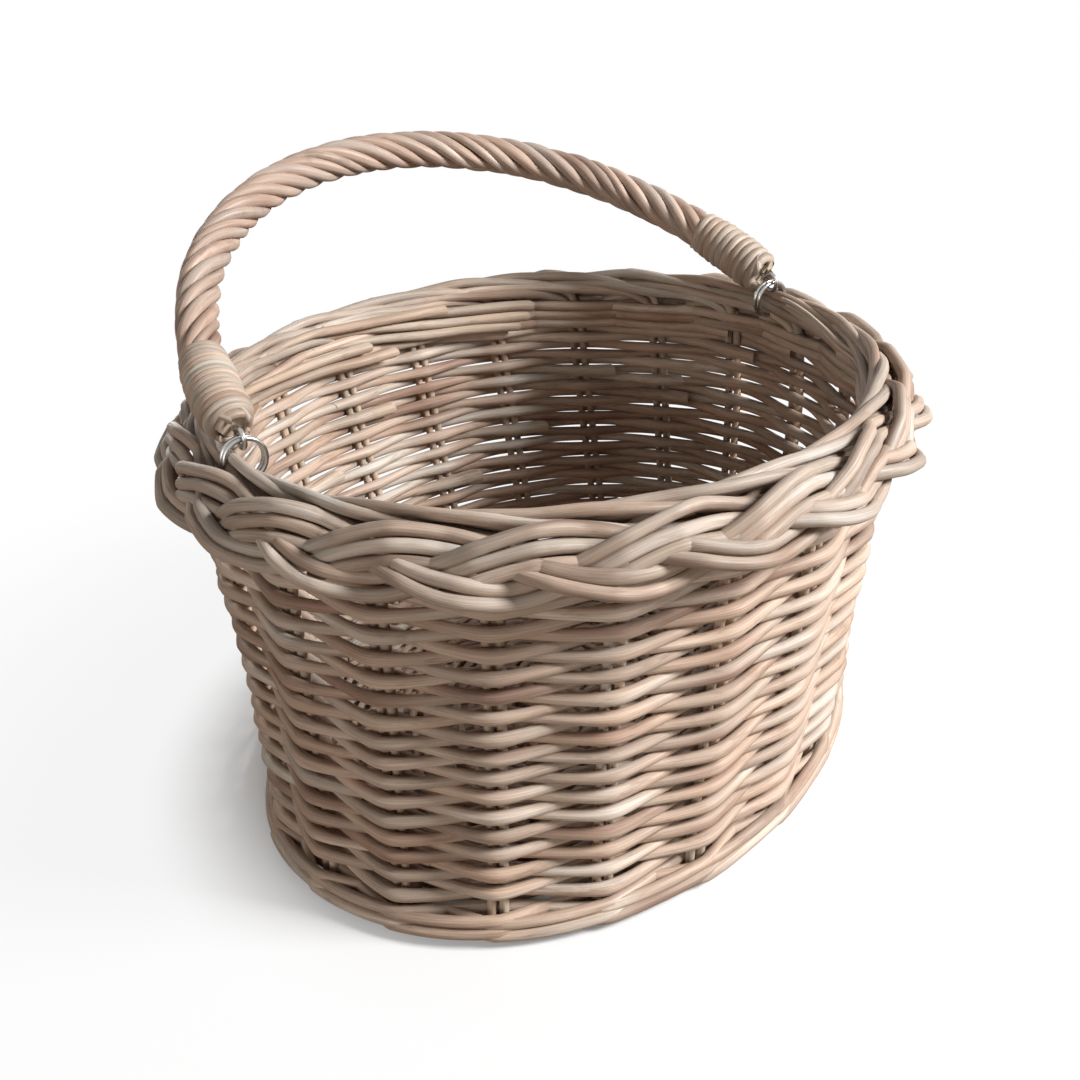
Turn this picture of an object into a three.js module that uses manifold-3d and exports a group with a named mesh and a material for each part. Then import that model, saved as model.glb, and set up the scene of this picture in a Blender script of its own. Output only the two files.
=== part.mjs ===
// Round wicker storage basket with a plaited border and a roped swing handle.
// Millimetres, +Z up. The origin is on the floor, under the middle of the basket.
import * as THREE from 'three';
import Module from 'manifold-3d';

const wasm = await Module();
wasm.setup();

// Gap kept between pieces that touch on the real basket
const clearance = 0.3;

// Wall: paired uprights, and rods woven in front of one pair and behind the next
const stakeCount = 20;
const firstStakeAngle = 9.5;
const stakeDiameter = 3.2;
const stakeFoot = 2;
const weaverThickness = 3.9;
const footRows = 3;
const sideRows = 32;
const rodsPerWeaver = 4;
const topRows = 3;

// Middle surface of the wall: slightly oval on the floor, round at the rim
const baseShortRadius = 110.2;
const baseLongRadius = 136.3;
const ovalAngle = 143.5;
const rimRadius = 130;

// Room that a weaver takes to bend round the corners of a pair, as a share of its half width
const outsideBend = 0.45;
const insideBend = 0.1;

// Base: ten sticks crossed in the middle, between the lower and the upper woven rounds
const stickWidth = 4;
const stickSpacing = 5;
const crossReach = 14;
const baseHoleRadius = 34;
const baseWeaveThickness = 3.4;
const baseLift = 1;

// Rim: open band for the handle rings, a rod on top of the uprights and one inside them
const openBand = 8.2;
const rimRodDiameter = 4;
const innerRodDrop = 0.5;

// Plaited border: three flat strands, each the width of the rods that run in it side by side
const strandWidth = 8.2;
const strandThickness = 3.2;
const strandSwing = 9.2;
const strandLift = 3;
const strandHold = 1.6;
const strandBank = 14;
const borderSlope = 57;
const borderSeatGap = 0.4;

// Handle: an arch on two steel rings
const handleAngle = 33.5;
const pivotInset = 3.5;
const pivotRise = 4.7;
const archHeight = 147;
const coreDiameter = 7.2;
const ropeDiameter = 16.6;
const coreStart = 6.5;
const ropeStart = 8.5;
const restGap = 0.4;

// Split cane wound round each end of the handle
const caneWidth = 2.8;
const caneThickness = 1.4;
const caneTurns = 12;
const caneTurnGap = 0.7;
const bindingStart = 7.5;
const taperStart = 6;
const taperLength = 5;
const taperDepth = 3.9;

// Steel rings and eyes
const wireDiameter = 1.8;
const ringTurnGap = 0.5;
const ringTurns = 2;
const ringFloorGap = 1.3;
const eyePlay = 0.45;
const shankLength = 14;

// Steps along the curved pieces
const rimSteps = 40;
const strandStepsPerStake = 6;
const archSteps = 32;
const turnSteps = 16;
const ringSteps = 20;

const caneColour = 0xb59f8b;
const weaverColours = [0xb8a28e, 0xa98f7c, 0xbca894, 0xa8917e];
const stakeColour = 0xc3ad98;
const plaitColours = [0xb7a695, 0xb2a08e, 0xbca999];
const ropeColour = 0xb39a86;
const splitCaneColour = 0xb7a590;
const steelColour = 0xc4c7ca;

// Worked out from the sizes above
const radians = THREE.MathUtils.degToRad;
const rowPitch = weaverThickness + clearance;
const pairHalfWidth = stakeDiameter;
const insideOffset = stakeDiameter / 2 + clearance + weaverThickness / 2 + insideBend * pairHalfWidth;
const outsideOffset = stakeDiameter / 2 + clearance + weaverThickness / 2 + outsideBend * pairHalfWidth;
const waleTop = (footRows + sideRows + topRows) * rowPitch - clearance;
const stakeTop = waleTop + openBand;
const ridgeHeight = stakeTop + clearance + rimRodDiameter / 2;
const ridgeTop = ridgeHeight + rimRodDiameter / 2;
const innerRodHeight = stakeTop - innerRodDrop - rimRodDiameter / 2;
const innerRodOffset = -(stakeDiameter / 2 + clearance + rimRodDiameter / 2);
const baseEdge = -(insideOffset + weaverThickness / 2 + clearance);
const stickBottom = baseLift + baseWeaveThickness + clearance;
const pivotRadius = rimRadius - pivotInset;
const pivotHeight = ridgeTop + pivotRise;
const bindingRadius = ropeDiameter / 2 + clearance + caneThickness / 2 + 0.2;

const group = new THREE.Group();

// A named piece with its own material
function addPiece(name, geometry, colour, roughness = 0.75, metalness = 0, parent = group) {
  const material = new THREE.MeshStandardMaterial({ color: colour, roughness, metalness });
  const mesh = new THREE.Mesh(geometry, material);
  mesh.name = name;
  parent.add(mesh);
  return mesh;
}

// Corners of a rectangle, anticlockwise, as pairs along the first and the second axis
function rectangle(first, second) {
  return [[first / 2, -second / 2], [first / 2, second / 2], [-first / 2, second / 2], [-first / 2, -second / 2]];
}

function polygon(sides, radius) {
  const corners = [];
  for (let i = 0; i < sides; i += 1) {
    const angle = (i + 0.5) * 2 * Math.PI / sides;
    corners.push([radius * Math.cos(angle), radius * Math.sin(angle)]);
  }
  return corners;
}

// The outline placed at a centre. The first axis crossed with the second points along the piece.
function station(centre, firstAxis, secondAxis, outline) {
  return outline.map(([a, b]) => centre.clone().addScaledVector(firstAxis, a).addScaledVector(secondAxis, b));
}

// A closed skin over a row of stations, capped at its ends or joined in a loop
function skin(stations, loop = false) {
  const sides = stations[0].length;
  const positions = stations.flat().flatMap((corner) => corner.toArray());
  const triangles = [];
  const index = (i, j) => (i % stations.length) * sides + (j % sides);
  const steps = loop ? stations.length : stations.length - 1;
  for (let i = 0; i < steps; i += 1) {
    for (let j = 0; j < sides; j += 1) {
      triangles.push(index(i, j), index(i, j + 1), index(i + 1, j + 1));
      triangles.push(index(i, j), index(i + 1, j + 1), index(i + 1, j));
    }
  }
  if (!loop) {
    for (let j = 1; j < sides - 1; j += 1) {
      triangles.push(index(0, 0), index(0, j + 1), index(0, j));
      triangles.push(index(steps, 0), index(steps, j), index(steps, j + 1));
    }
  }
  const geometry = new THREE.BufferGeometry();
  geometry.setAttribute('position', new THREE.Float32BufferAttribute(positions, 3));
  geometry.setIndex(triangles);
  geometry.computeVertexNormals();
  return geometry;
}

function toManifold(geometry) {
  const vertProperties = new Float32Array(geometry.attributes.position.array);
  const triVerts = new Uint32Array(geometry.index.array);
  return new wasm.Manifold(new wasm.Mesh({ numProp: 3, vertProperties, triVerts }));
}

function fromManifold(solid) {
  const mesh = solid.getMesh();
  const geometry = new THREE.BufferGeometry();
  geometry.setAttribute('position', new THREE.BufferAttribute(mesh.vertProperties, 3));
  geometry.setIndex(new THREE.BufferAttribute(mesh.triVerts, 1));
  geometry.computeVertexNormals();
  return geometry;
}

// A point of the wall: height above the floor, and distance outside its middle surface
function wallPoint(angle, height, outward) {
  const share = height / stakeTop;
  const short = baseShortRadius + (rimRadius - baseShortRadius) * share;
  const long = baseLongRadius + (rimRadius - baseLongRadius) * share;
  const turn = radians(angle - ovalAngle);
  const normal = new THREE.Vector3(long * Math.cos(turn), short * Math.sin(turn), 0).normalize();
  const point = new THREE.Vector3(short * Math.cos(turn), long * Math.sin(turn), height);
  point.addScaledVector(normal, outward);
  return point.applyAxisAngle(new THREE.Vector3(0, 0, 1), radians(ovalAngle));
}

function wallNormal(angle, height) {
  return wallPoint(angle, height, 1).sub(wallPoint(angle, height, 0));
}

function stakeAngle(i) {
  return firstStakeAngle + i * 360 / stakeCount;
}

const up = new THREE.Vector3(0, 0, 1);

// A weaver at one pair of uprights, outside or inside it
function weaverStation(i, height, outside) {
  const angle = stakeAngle(i);
  const centre = wallPoint(angle, height, outside ? outsideOffset : -insideOffset);
  return station(centre, up, wallNormal(angle, height), rectangle(weaverThickness, weaverThickness));
}

// One level round that passes outside two pairs and inside the third
function waleRound(row) {
  const height = weaverThickness / 2 + row * rowPitch;
  const stations = [];
  for (let i = 0; i < stakeCount; i += 1) stations.push(weaverStation(i, height, (i + row) % 3 !== 2));
  return skin(stations, true);
}

// The station, moved along the weaver to leave half the gap to the next rod
function shortened(from, towards) {
  const share = clearance / 2 / from[0].distanceTo(towards[0]);
  return from.map((corner, i) => corner.clone().lerp(towards[i], share));
}

// Two weavers chase each other up the wall. The second starts half a round behind the first,
// and each is pieced from rods that end against each other at an upright.
function addSideWeavers() {
  const climb = 2 * rowPitch / stakeCount;
  const stepsInAll = (sideRows - 1) * stakeCount / 2;
  const startHeight = weaverThickness / 2 + footRows * rowPitch;
  for (const [weaver, letter] of ['a', 'b'].entries()) {
    const firstStake = weaver * stakeCount / 2;
    for (let rod = 0; rod < rodsPerWeaver; rod += 1) {
      const first = Math.round(stepsInAll * rod / rodsPerWeaver);
      const last = Math.round(stepsInAll * (rod + 1) / rodsPerWeaver);
      const stations = [];
      for (let i = first; i <= last; i += 1) {
        stations.push(weaverStation(firstStake + i, startHeight + i * climb, (firstStake + i + weaver) % 2 === 0));
      }
      stations[0] = shortened(stations[0], stations[1]);
      stations.push(shortened(stations.pop(), stations[stations.length - 1]));
      addPiece(`side_weaver_${letter}${rod + 1}`, skin(stations), weaverColours[(2 * rod + weaver) % 4]);
    }
  }
}

// A rod laid round the rim at one height
function rimRound(height, offset) {
  const stations = [];
  for (let i = 0; i < rimSteps; i += 1) {
    const angle = firstStakeAngle + i * 360 / rimSteps;
    const centre = wallPoint(angle, height, offset);
    stations.push(station(centre, up, wallNormal(angle, height), polygon(6, rimRodDiameter / 2)));
  }
  return skin(stations, true);
}

// A square stick through the given points, with upright sides
function stick(points) {
  const stations = points.map((point, i) => {
    const before = points[Math.max(i - 1, 0)];
    const after = points[Math.min(i + 1, points.length - 1)];
    const along = after.clone().sub(before).setZ(0).normalize();
    return station(point, up.clone().cross(along), up, rectangle(stickWidth, stickWidth));
  });
  return skin(stations);
}

// One layer of base sticks: five side by side, fanned out to the feet of the uprights
function addBaseSticks(firstSpoke, firstNumber, crossHeight) {
  const spokeHeight = stickBottom + stickWidth / 2;
  const halfCount = stakeCount / 2;
  const perLayer = halfCount / 2;
  const middle = radians(stakeAngle(firstSpoke + (perLayer - 1) / 2));
  const along = new THREE.Vector3(Math.cos(middle), Math.sin(middle), 0);
  const across = new THREE.Vector3(-Math.sin(middle), Math.cos(middle), 0);
  for (let j = 0; j < perLayer; j += 1) {
    const shift = (j - (perLayer - 1) / 2) * stickSpacing;
    const near = wallPoint(stakeAngle(firstSpoke + j), spokeHeight, baseEdge);
    const far = wallPoint(stakeAngle(firstSpoke + halfCount + perLayer - 1 - j), spokeHeight, baseEdge);
    const inner = (end) => end.clone().setZ(0).setLength(baseHoleRadius).setZ(spokeHeight);
    const cross = (reach) => along.clone().multiplyScalar(reach).addScaledVector(across, shift).setZ(crossHeight);
    const points = [near, inner(near), cross(crossReach), cross(-crossReach), inner(far), far];
    addPiece(`base_stick_${String(firstNumber + j).padStart(2, '0')}`, stick(points), caneColour);
  }
}

// One layer of woven rounds over or under the base sticks, as a flat disc with a hole
function addBaseWeave(name, bottom) {
  const outline = new THREE.Shape();
  for (let i = 0; i < stakeCount; i += 1) {
    const point = wallPoint(stakeAngle(i), bottom, baseEdge);
    if (i === 0) outline.moveTo(point.x, point.y);
    else outline.lineTo(point.x, point.y);
  }
  outline.closePath();
  const hole = new THREE.Path();
  hole.absarc(0, 0, baseHoleRadius, 0, 2 * Math.PI, true);
  outline.holes.push(hole);
  const geometry = new THREE.ExtrudeGeometry(outline,
    { depth: baseWeaveThickness, bevelEnabled: false, curveSegments: stakeCount });
  addPiece(name, geometry, weaverColours[1]).position.z = bottom;
}

// Two uprights side by side, with a groove where they touch
function addStakePair(i) {
  const angle = stakeAngle(i);
  const foot = wallPoint(angle, stakeFoot, 0);
  const top = wallPoint(angle, stakeTop, 0);
  const along = top.clone().sub(foot).normalize();
  const side = up.clone().cross(wallNormal(angle, stakeTop)).normalize();
  const out = side.clone().cross(along).normalize();
  const radius = stakeDiameter / 2;
  const half = [[0.5, 0], [1, 1], [0.5, 2], [-0.5, 2], [-1, 1]].map(([a, b]) => [a * radius, b * radius]);
  const outline = [...half, ...half.map(([a, b]) => [-a, -b])];
  const stations = [foot, top].map((end) => station(end, out, side, outline));
  addPiece(`stake_pair_${String(i + 1).padStart(2, '0')}`, skin(stations), stakeColour);
}

// Plaited border: the strands swing across a sloping band, pass over and under each other,
// and bank where they cross the middle between the other two
function addBorder() {
  const slope = radians(borderSlope);
  const waleOutside = rimRadius + outsideOffset + weaverThickness / 2;
  const depth = strandLift + strandThickness / 2;
  const centreRadius = waleOutside + borderSeatGap + strandSwing / 2 * Math.cos(slope) + depth * Math.sin(slope);
  const centreHeight = waleTop + borderSeatGap - strandSwing / 2 * Math.sin(slope) + depth * Math.cos(slope);
  const steps = stakeCount * strandStepsPerStake;
  const endGap = clearance / 2 / centreRadius;
  const crossingAtStake = Math.PI / 6 + Math.PI;

  const swingAt = (turn, phase) => turn * stakeCount / 3 + phase + crossingAtStake;
  const place = (turn, phase) => {
    const swing = swingAt(turn, phase);
    const lateral = strandSwing * Math.sin(swing);
    const lift = strandLift * THREE.MathUtils.clamp(strandHold * Math.sin(2 * swing), -1, 1);
    const radius = centreRadius + lateral * Math.cos(slope) + lift * Math.sin(slope);
    const height = centreHeight - lateral * Math.sin(slope) + lift * Math.cos(slope);
    const angle = turn + radians(firstStakeAngle);
    return new THREE.Vector3(radius * Math.cos(angle), radius * Math.sin(angle), height);
  };
  for (let strand = 0; strand < 3; strand += 1) {
    const phase = strand * 2 * Math.PI / 3;
    const stations = [];
    for (let i = 0; i <= steps; i += 1) {
      const turn = endGap + (2 * Math.PI - 2 * endGap) * i / steps;
      const angle = turn + radians(firstStakeAngle);
      const normal = new THREE.Vector3(Math.cos(angle) * Math.sin(slope), Math.sin(angle) * Math.sin(slope),
        Math.cos(slope));
      const along = place(turn + 0.01, phase).sub(place(turn - 0.01, phase)).normalize();
      const bank = -radians(strandBank) * Math.cos(swingAt(turn, phase));
      const across = normal.clone().cross(along).normalize().applyAxisAngle(along, bank);
      const out = along.clone().cross(across).normalize();
      stations.push(station(place(turn, phase), across, out, rectangle(strandWidth, strandThickness)));
    }
    addPiece(`border_strand_${strand + 1}`, skin(stations), plaitColours[strand]);
  }
}

// Least distance between the corners of turns that are more than half a turn apart
function leastGap(stations, stepsPerTurn) {
  let least = Infinity;
  for (let i = 0; i < stations.length; i += 1) {
    for (let j = i + Math.ceil(stepsPerTurn / 2); j < stations.length; j += 1) {
      for (const a of stations[i]) {
        for (const b of stations[j]) least = Math.min(least, a.distanceTo(b));
      }
    }
  }
  return least;
}

// Handle: the arch lies in its own frame, X from ring to ring and Z up through the arch
const arch = new THREE.EllipseCurve(0, 0, pivotRadius, archHeight, 0, Math.PI);
const archLength = arch.getLength();
const sideways = new THREE.Vector3(0, 1, 0);

function archFrame(distance) {
  const point = arch.getPointAt(distance / archLength);
  const direction = arch.getTangentAt(distance / archLength);
  const along = new THREE.Vector3(direction.x, 0, direction.y);
  return { centre: new THREE.Vector3(point.x, 0, point.y), along, out: sideways.clone().cross(along) };
}

function ringAround(distance, radius, sides) {
  const { centre, out } = archFrame(distance);
  return station(centre, out, sideways, polygon(sides, radius));
}

function shank(end, radius, from, to) {
  const height = to - from;
  const geometry = new THREE.CylinderGeometry(radius, radius, height, 8);
  geometry.rotateX(Math.PI / 2);
  geometry.translate(end * pivotRadius, 0, from + height / 2);
  return weld(geometry);
}

// Shared corners only, so that the solid can be joined and cut
function weld(geometry) {
  const position = geometry.attributes.position;
  const corners = new Map();
  const points = [];
  const order = [];
  for (let i = 0; i < position.count; i += 1) {
    const point = [position.getX(i), position.getY(i), position.getZ(i)];
    const key = point.map((value) => Math.round(value * 1e4)).join(' ');
    if (!corners.has(key)) {
      corners.set(key, points.length / 3);
      points.push(...point);
    }
    order.push(corners.get(key));
  }
  const triangles = [];
  for (let i = 0; i < geometry.index.count; i += 3) {
    const [a, b, c] = [0, 1, 2].map((k) => order[geometry.index.getX(i + k)]);
    if (a !== b && b !== c && c !== a) triangles.push(a, b, c);
  }
  const welded = new THREE.BufferGeometry();
  welded.setAttribute('position', new THREE.Float32BufferAttribute(points, 3));
  welded.setIndex(triangles);
  return welded;
}

const eyeRadius = Math.hypot(ringTurnGap / 2 + wireDiameter, wireDiameter / 2) + eyePlay + wireDiameter / 2;

function addCore(parent) {
  const stations = [];
  for (let i = 0; i <= archSteps; i += 1) {
    const distance = coreStart + (archLength - 2 * coreStart) * i / archSteps;
    stations.push(ringAround(distance, coreDiameter / 2, 8));
  }
  let solid = toManifold(skin(stations));
  for (const end of [-1, 1]) {
    const hole = shank(end, wireDiameter / 2 + clearance, eyeRadius, eyeRadius + shankLength + clearance);
    solid = solid.subtract(toManifold(hole));
  }
  addPiece('handle_core', fromManifold(solid), caneColour, 0.75, 0, parent);
}

// The rods twisted round the core, as one sleeve that narrows at both ends
function addRope(parent) {
  const boreRadius = coreDiameter / 2 + clearance;
  const narrowRadius = boreRadius + caneThickness;
  const wideStart = taperStart + taperLength + caneWidth / 2;
  const distances = [ropeStart, wideStart];
  for (let i = 1; i < archSteps; i += 1) {
    distances.push(wideStart + (archLength - 2 * wideStart) * i / archSteps);
  }
  distances.push(archLength - wideStart, archLength - ropeStart);
  const outside = distances.map((distance, i) => {
    const atEnd = i === 0 || i === distances.length - 1;
    return ringAround(distance, atEnd ? narrowRadius : ropeDiameter / 2, 10);
  });
  const inside = distances.map((distance) => ringAround(distance, boreRadius, 10)).reverse();
  addPiece('handle_rope', skin([...outside, ...inside], true), ropeColour, 0.75, 0, parent);
}

// Split cane wound round one end, narrow beside the ring and full width further up
function addBinding(name, fromRight, parent) {
  const steps = caneTurns * turnSteps;
  const pitch = caneWidth + caneTurnGap;
  const outline = rectangle(caneWidth, caneThickness);
  const stations = [];
  for (let i = -1; i <= steps + 1; i += 1) {
    const wound = Math.min(Math.max(i, 0), steps);
    const distance = bindingStart + pitch * wound / turnSteps;
    const taper = THREE.MathUtils.clamp((distance - taperStart) / taperLength, 0, 1);
    const radius = bindingRadius - taperDepth * (1 - taper);
    const { centre, along, out } = archFrame(fromRight ? distance : archLength - distance);
    const turn = 2 * Math.PI * wound / turnSteps * (fromRight ? 1 : -1);
    const outward = out.clone().multiplyScalar(Math.cos(turn)).addScaledVector(sideways, Math.sin(turn));
    const travel = along.clone().cross(outward).multiplyScalar(fromRight ? 1 : -1);
    const middle = centre.clone().addScaledVector(outward, radius).addScaledVector(travel, (i - wound) * caneThickness);
    stations.push(station(middle, fromRight ? along : along.clone().negate(), outward, outline));
  }
  console.log(`${name}: least gap between turns ${leastGap(stations, turnSteps).toFixed(2)} mm`);
  addPiece(name, skin(stations), splitCaneColour, 0.6, 0, parent);
}

// Steel eye in the end of the core, hung on the ring
function addEye(name, end, parent) {
  const torus = new THREE.TorusGeometry(eyeRadius, wireDiameter / 2, 6, 14);
  torus.rotateY(Math.PI / 2);
  torus.translate(end * pivotRadius, 0, 0);
  const stem = shank(end, wireDiameter / 2, eyeRadius, eyeRadius + shankLength);
  const solid = toManifold(weld(torus)).add(toManifold(stem));
  addPiece(name, fromManifold(solid), steelColour, 0.3, 1, parent);
}

// Two turns of steel wire through the eye and round the rods of the rim
function addRing(name, end, parent) {
  const top = 0;
  const bottom = waleTop + ringFloorGap + wireDiameter / 2 - pivotHeight;
  const radius = (top - bottom) / 2;
  const centre = new THREE.Vector3(end * pivotRadius, 0, (top + bottom) / 2);
  const pitch = wireDiameter + ringTurnGap;
  const steps = ringTurns * ringSteps;
  const stations = [];
  for (let i = 0; i <= steps; i += 1) {
    const turn = 2 * Math.PI * i / ringSteps - Math.PI / 2;
    const outward = new THREE.Vector3(Math.cos(turn), 0, Math.sin(turn));
    const middle = centre.clone().addScaledVector(outward, radius);
    middle.y = pitch * (i / ringSteps - ringTurns / 2);
    stations.push(station(middle, sideways.clone().negate(), outward, polygon(6, wireDiameter / 2)));
  }
  console.log(`${name}: least gap between turns ${leastGap(stations, ringSteps).toFixed(2)} mm`);
  addPiece(name, skin(stations), steelColour, 0.3, 1, parent);
}

// The handle leans until its bound ends lie on the rod on top of the rim
function restLean() {
  const reach = taperStart + taperLength;
  const outside = bindingRadius + caneThickness / 2;
  const depth = Math.sqrt(outside * outside - pivotInset * pivotInset);
  return Math.acos(-(pivotRise - restGap) / Math.hypot(reach, depth)) - Math.atan2(depth, reach);
}

const crossShift = (stickWidth + clearance) / 2;
addBaseSticks(0, 1, stickBottom + stickWidth / 2 - crossShift);
addBaseSticks(stakeCount / 4, stakeCount / 4 + 1, stickBottom + stickWidth / 2 + crossShift);
addBaseWeave('base_weave_lower', baseLift);
addBaseWeave('base_weave_upper', stickBottom + stickWidth + clearance);
for (let i = 0; i < stakeCount; i += 1) addStakePair(i);
for (let i = 0; i < footRows; i += 1) addPiece(`foot_wale_${i + 1}`, waleRound(i), weaverColours[i]);
addSideWeavers();
for (let i = 0; i < topRows; i += 1) {
  addPiece(`top_wale_${i + 1}`, waleRound(footRows + sideRows + i), weaverColours[i]);
}
addPiece('rim_rod_ridge', rimRound(ridgeHeight, 0), plaitColours[0]);
addPiece('rim_rod_inner', rimRound(innerRodHeight, innerRodOffset), plaitColours[1]);
addBorder();

const pivotFrame = new THREE.Group();
pivotFrame.position.z = pivotHeight;
pivotFrame.rotation.z = radians(handleAngle);
group.add(pivotFrame);
addRing('handle_ring_left', -1, pivotFrame);
addRing('handle_ring_right', 1, pivotFrame);

const handleFrame = new THREE.Group();
handleFrame.rotation.x = -restLean();
pivotFrame.add(handleFrame);
addCore(handleFrame);
addRope(handleFrame);
addBinding('handle_binding_left', false, handleFrame);
addBinding('handle_binding_right', true, handleFrame);
addEye('handle_eye_left', -1, handleFrame);
addEye('handle_eye_right', 1, handleFrame);
console.log(`rest lean ${THREE.MathUtils.radToDeg(restLean()).toFixed(1)} degrees, pivot height ${pivotHeight.toFixed(1)}`);

export default group;
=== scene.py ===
# Round wicker storage basket with a plaited border and a roped swing handle.
# Metres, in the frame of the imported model. The origin is on the floor under the middle of the rim.
import math

import bpy
import numpy as np
from mathutils import Matrix, Vector


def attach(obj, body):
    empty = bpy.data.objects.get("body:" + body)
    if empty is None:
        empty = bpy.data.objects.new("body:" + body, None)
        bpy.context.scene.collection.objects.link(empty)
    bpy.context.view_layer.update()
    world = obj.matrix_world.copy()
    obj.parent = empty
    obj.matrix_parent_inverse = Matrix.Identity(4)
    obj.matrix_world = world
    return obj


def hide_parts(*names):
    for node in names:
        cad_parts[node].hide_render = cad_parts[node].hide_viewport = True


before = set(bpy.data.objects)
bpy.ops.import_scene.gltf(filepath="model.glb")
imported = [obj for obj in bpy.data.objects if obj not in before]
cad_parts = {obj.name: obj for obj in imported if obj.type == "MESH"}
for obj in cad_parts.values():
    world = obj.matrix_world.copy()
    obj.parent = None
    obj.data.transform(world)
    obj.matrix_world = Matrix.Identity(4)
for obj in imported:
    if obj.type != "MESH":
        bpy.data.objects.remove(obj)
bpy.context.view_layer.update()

MM = 0.001

# Wall: pairs of uprights on a slightly oval floor outline and a round rim. Angles are in degrees
STAKES = 20
FIRST_STAKE = 9.5
STAKE_SPACING = 41 * MM
STAKE_RADIUS = 1.8 * MM
STAKE_APART = 4.8 * MM
STAKE_INWARD = 0.5 * MM
STAKE_WOBBLE = 0.15 * MM
STAKE_STEP = 2.7 * MM
STAKE_BOTTOM = 2 * MM
STAKE_BEND = 156 * MM
STAKE_TOP = 167.5 * MM
BASE_SHORT = 110.2 * MM
BASE_LONG = 136.3 * MM
OVAL_ANGLE = 143.5
RIM_RADIUS = 130 * MM

# How far a weaver's middle passes outside and inside the line that the wall is laid along
OUTSIDE = 4.9 * MM
INSIDE = 2.8 * MM
WALL_MIDDLE = (OUTSIDE - INSIDE) / 2

# Unevenness of a single rod in the wall, and the distance over which it changes
WOBBLE = 0.25 * MM
WOBBLE_UP_SHARE = 0.8
WOBBLE_REACH_OUT = 25 * MM
WOBBLE_REACH_UP = 30 * MM
ROD_STEP = 2.2 * MM

# Slow unevenness that all rows share: size, waves round the basket, shift, change with height
SWAY_OUT = ((0.7 * MM, 3, 1.1, 30), (0.42 * MM, 5, 2.7, -41))
SWAY_UP = ((0.6 * MM, 2, 0.4, 17), (0.3 * MM, 7, -1.3, 25))
SWAY_FADE_BOTTOM = 8 * MM
SWAY_FADE_TOP = 12 * MM

# Bulges of the wall in millimetres: outward, middle height, reach up and down, direction, both sides or one
BULGES = ((3.0, 120, 32, 187, True), (2.6, 0, 16, 255, False))

# Side weavers: each row swings in and out, nearly straight between the stakes
WEAVER_RADIUS = 2.7 * MM
WEAVER_SQUEEZE = 0.2
WEAVER_TAPER = (1.06, 0.95)
WEAVER_WOBBLE = 0.32 * MM
WEAVER_STRAIGHTNESS = 0.97
WEAVER_NODES = 4
INSIDE_RISE = 1.25 * MM
FIRST_ROW = 1.95 * MM
ROW_PITCH = 4.2 * MM
FOOT_ROWS = 3
SIDE_ROWS = 32
WEAVE_START = FIRST_ROW + FOOT_ROWS * ROW_PITCH
WEAVE_CLIMB = 2 * ROW_PITCH / STAKES
WEAVE_TOTAL = (SIDE_ROWS - 1) * STAKES / 2

# A weaver's rod passes twice 10 to twice 16 stakes, and a little more at both ends to meet the next
ROD_PASSES = (10, 17)
ROD_OVERLAP = 0.3

# Waling: three rods run together, each in front of two stakes and behind the next
WALE_RODS = 3
WALE_RADIUS = 2.3 * MM
WALE_RISE = 1.6 * MM
WALE_RISE_WIDTH = 0.6
WALE_SHARPNESS = 1.45
WALE_DRAWN_BACK = 0.7
WALE_LOWEST = 1.05 * WALE_RADIUS
WALE_TOP = 159.3 * MM

# Each wale: height where it begins and ends, rounds, how far its first round stands out
FOOT_WALE = (2.4 * MM, 11 * MM, 2, 3.4 * MM)
TOP_WALE = (146 * MM, 158.6 * MM, 3, 0)

# Thick ends of new weavers inside the wall: stake and height in millimetres, then their reach in stakes
WEAVER_ENDS = ((5, 94), (7, 117), (2, 139), (8, 96), (6, 72), (3, 108), (7, 60), (1, 84), (4, 122))
END_BEFORE = 0.42
END_BEYOND = 1.3
END_STAND_OFF = 1.6 * MM
END_TAPER = (1.15, 0.8)
END_SLANT = 0.8

# Rods of the rim that end inside the wall: stake and height in millimetres, then the way they take back
# to the rim, as stakes passed, distance inside the wall and rise in millimetres
RIM_ENDS = ((4.53, 157.5), (4.61, 152.8), (4.75, 148.5), (5.65, 161), (6.4, 146), (6.75, 152))
RIM_END_PATH = ((0, 7.2, 0), (0.6, 7.2, 0.8), (1.3, 6.4, 2.6), (2, 3.8, 5.5), (2.7, 1.4, 8))
RIM_END_HIGHEST = 165.5
RIM_END_TAPER = (1.0, 0.6)

# Two canes at the right ring: angle, distance from the middle and height, then how far the second is lower
RING_CANE_PATH = ((31, 128.4, 169.6), (27, 126.2, 170), (21, 124.7, 169), (15, 124, 167.4), (8, 124, 165.6),
                  (2, 127, 164))
RING_CANE_DROPS = (0, 1.7)
RING_CANE_INWARD = 0.3
RING_CANE_RADIUS = 0.95 * MM

# Uprights bent over into the rim: stakes passed, distance from the middle and height in millimetres
BENT_OUTER = ((-0.04, 130, 150), (-0.03, 130.4, 156), (0.05, 130.4, 161), (0.3, 129.6, 165.5),
              (0.8, 129.4, 168.3), (1.3, 130.6, 169.4), (1.8, 132, 168.9), (2.3, 132.9, 166.8),
              (2.8, 133.3, 163.2), (3.2, 133.6, 158.5))
BENT_INNER = ((0.04, 130, 150), (0.05, 130, 155), (0.14, 128.8, 159), (0.45, 127.3, 161.8),
              (1.0, 126.9, 163.4), (1.6, 127.6, 165), (2.2, 129.8, 165.4), (2.8, 131.9, 163.4),
              (3.3, 133, 159.5), (3.6, 133.4, 156))
BENT_RADIUS = 2.1 * MM
BENT_TAPER = (0.95, 1.1)
BENT_JITTER = 0.4
BENT_JITTER_SHARES = (0.03, 1, 1)
BENT_STEADY_KNOTS = 3

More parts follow.
